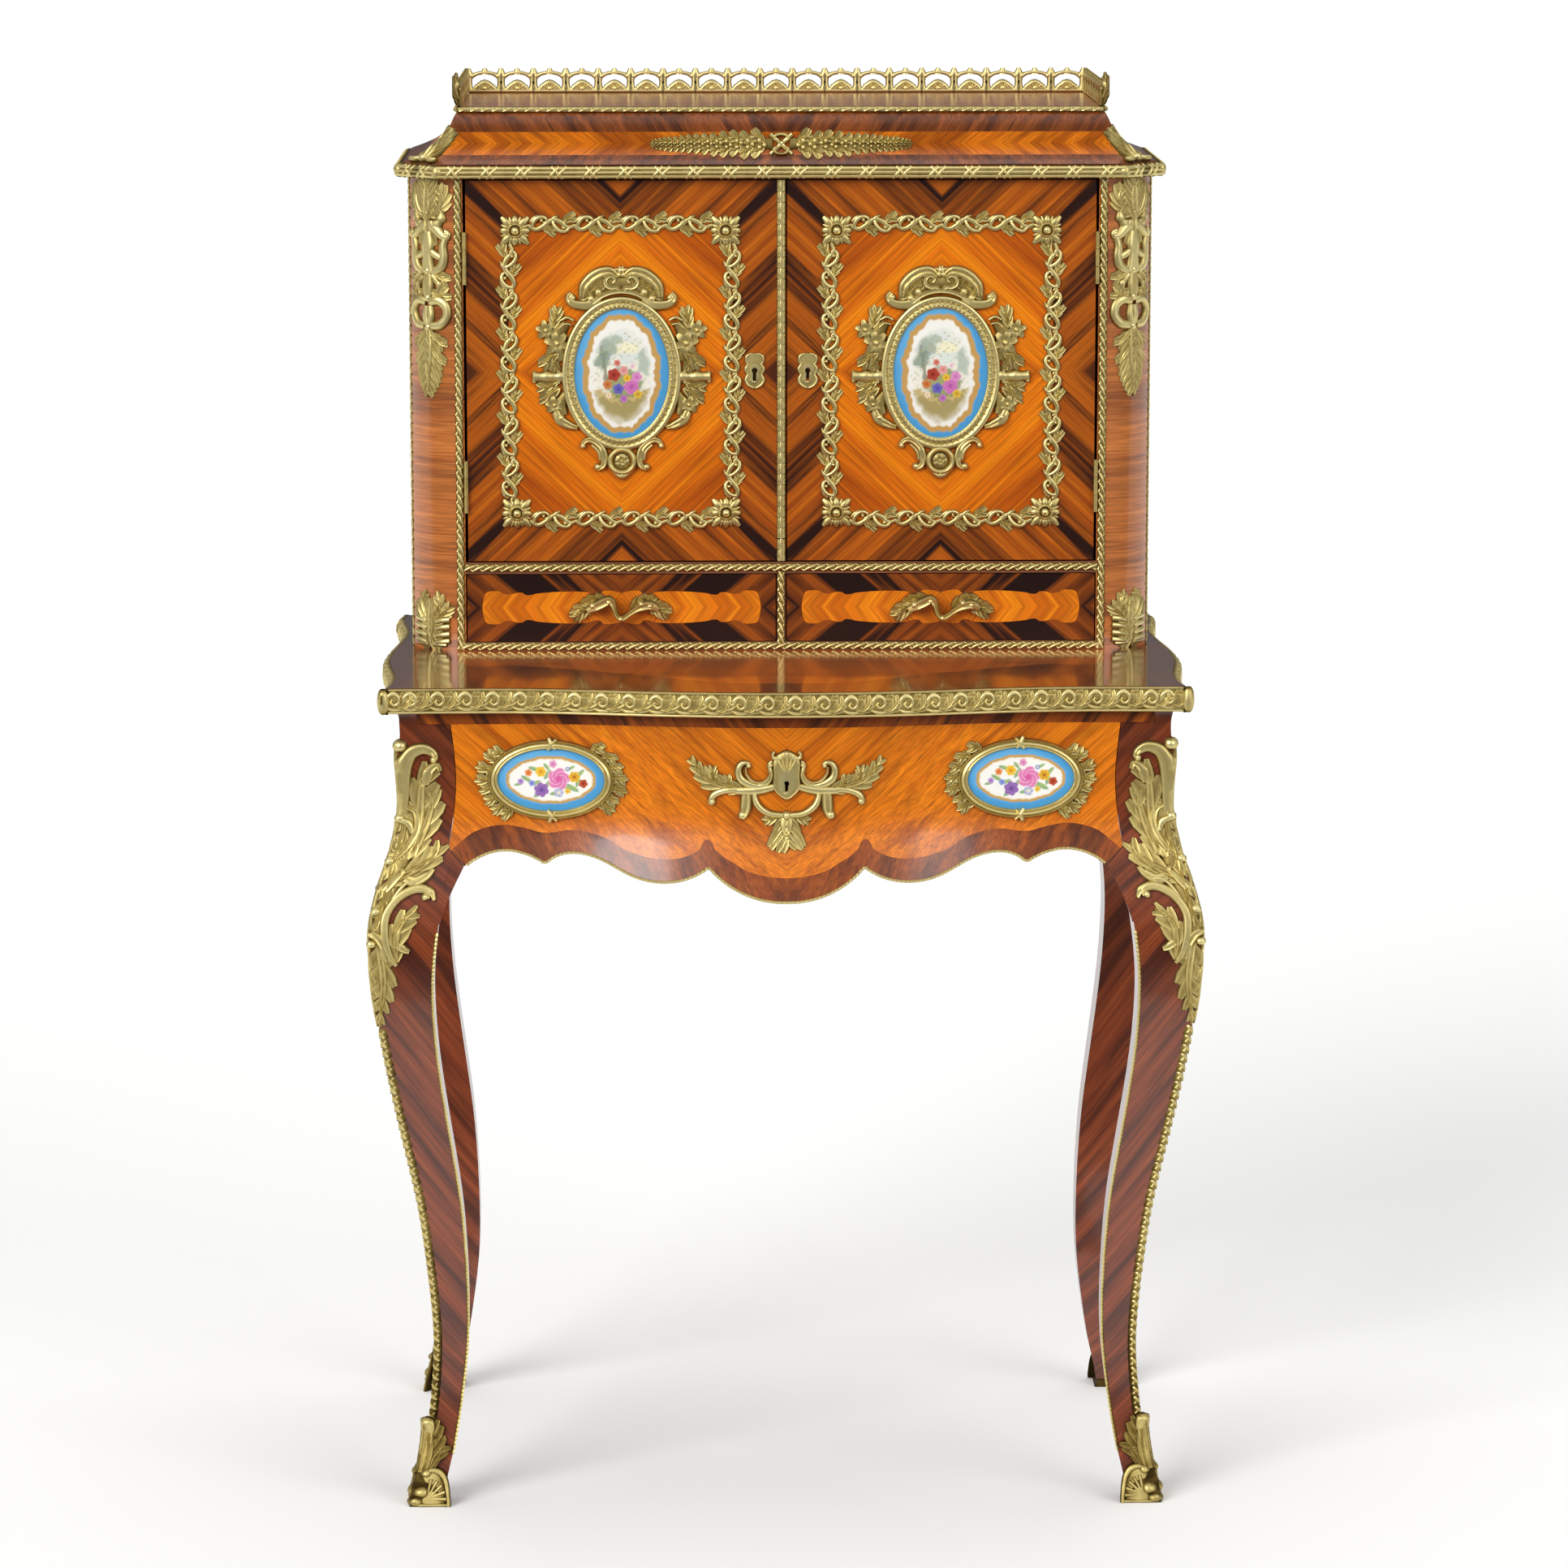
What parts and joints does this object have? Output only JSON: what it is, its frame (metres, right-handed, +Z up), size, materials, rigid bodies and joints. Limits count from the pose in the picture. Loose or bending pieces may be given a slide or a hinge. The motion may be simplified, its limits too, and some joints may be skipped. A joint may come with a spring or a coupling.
{
  "type": "writing desk",
  "caption": "Bonheur du jour: lady's writing desk on cabriole legs with frieze drawer, small drawers, cupboard doors, coved hood and gallery, in veneered wood with gilt brass mounts.",
  "frame": {"origin": "on the floor under the middle of the overall box", "axes": "+Z up, -Y to the front where the sitter is, +X to the right seen from the front; overall width along X, depth along Y, height along Z"},
  "size_m": [0.7526, 0.5, 1.2934],
  "materials": {
    "kingwood": "french polished kingwood veneer, gloss",
    "tulipwood": "french polished tulipwood veneer, gloss",
    "carcase_wood": "planed oak, unpolished",
    "gilt_brass": "gilt, aged, satin",
    "lock_steel": "filed and oiled",
    "porcelain": "glazed porcelain, gloss"
  },
  "bodies": {
    "desk": {"left_front_leg": "kingwood", "right_front_leg": "kingwood", "left_rear_leg": "kingwood", "right_rear_leg": "kingwood", "left_side_apron": "kingwood", "right_side_apron": "kingwood", "rear_apron": "kingwood", "front_top_rail": "kingwood", "frieze_drawer_runners": "carcase_wood", "table_top": "tulipwood", "table_edge_moulding": "gilt_brass", "sabots": "gilt_brass", "knee_mounts": "gilt_brass", "leg_edge_strips": "gilt_brass", "cabinet_floor": "carcase_wood", "left_cabinet_side": "kingwood", "right_cabinet_side": "kingwood", "left_corner_post": "kingwood", "right_corner_post": "kingwood", "cabinet_partitions": "carcase_wood", "cabinet_back": "carcase_wood", "cornice_board": "kingwood", "cornice_moulding": "gilt_brass", "hood": "kingwood", "hood_top": "tulipwood", "hood_top_moulding": "gilt_brass", "gallery": "gilt_brass", "hood_mounts": "gilt_brass", "corner_post_mounts": "gilt_brass", "cabinet_beading": "gilt_brass", "case_hinges": "gilt_brass"},
    "left_door": {"left_door_panel": "tulipwood", "left_door_border": "gilt_brass", "left_door_plaque_frame": "gilt_brass", "left_door_plaque": "porcelain", "left_door_escutcheon": "gilt_brass", "left_door_hinge_leaves": "gilt_brass", "meeting_beading": "gilt_brass"},
    "right_door": {"right_door_panel": "tulipwood", "right_door_border": "gilt_brass", "right_door_plaque_frame": "gilt_brass", "right_door_plaque": "porcelain", "right_door_escutcheon": "gilt_brass", "right_door_hinge_leaves": "gilt_brass", "door_lock_case": "lock_steel"},
    "door_bolt": {"door_lock_bolt": "lock_steel"},
    "left_drawer": {"left_drawer_front": "tulipwood", "left_drawer_box": "carcase_wood", "left_drawer_handle": "gilt_brass"},
    "right_drawer": {"right_drawer_front": "tulipwood", "right_drawer_box": "carcase_wood", "right_drawer_handle": "gilt_brass"},
    "frieze_drawer": {"frieze_drawer_front": "tulipwood", "frieze_drawer_box": "carcase_wood", "frieze_mount": "gilt_brass", "frieze_plaque_frames": "gilt_brass", "frieze_plaques": "porcelain", "frieze_lock_case": "lock_steel", "apron_edge_strip": "gilt_brass"},
    "frieze_bolt": {"frieze_lock_bolt": "lock_steel"}
  },
  "joints": [
    {"name": "left_door_hinge", "type": "hinge", "parent": "desk", "child": "left_door", "pos_m": [-0.2909, 0.0075, 1.0185], "axis": [0, 0, -1], "range_deg": [0, 110]},
    {"name": "right_door_hinge", "type": "hinge", "parent": "desk", "child": "right_door", "pos_m": [0.2909, 0.0075, 1.0185], "axis": [0, 0, 1], "range_deg": [0, 110]},
    {"name": "left_drawer_slide", "type": "slide", "parent": "desk", "child": "left_drawer", "axis": [0, -1, 0], "range_m": [0, 0.15]},
    {"name": "right_drawer_slide", "type": "slide", "parent": "desk", "child": "right_drawer", "axis": [0, -1, 0], "range_m": [0, 0.15]},
    {"name": "frieze_drawer_slide", "type": "slide", "parent": "desk", "child": "frieze_drawer", "axis": [0, -1, 0], "range_m": [0, 0.25]},
    {"name": "door_bolt_slide", "type": "slide", "parent": "right_door", "child": "door_bolt", "axis": [-1, 0, 0], "range_m": [0, 0.007]},
    {"name": "frieze_bolt_slide", "type": "slide", "parent": "frieze_drawer", "child": "frieze_bolt", "axis": [0, 0, 1], "range_m": [0, 0.007]}
  ]
}
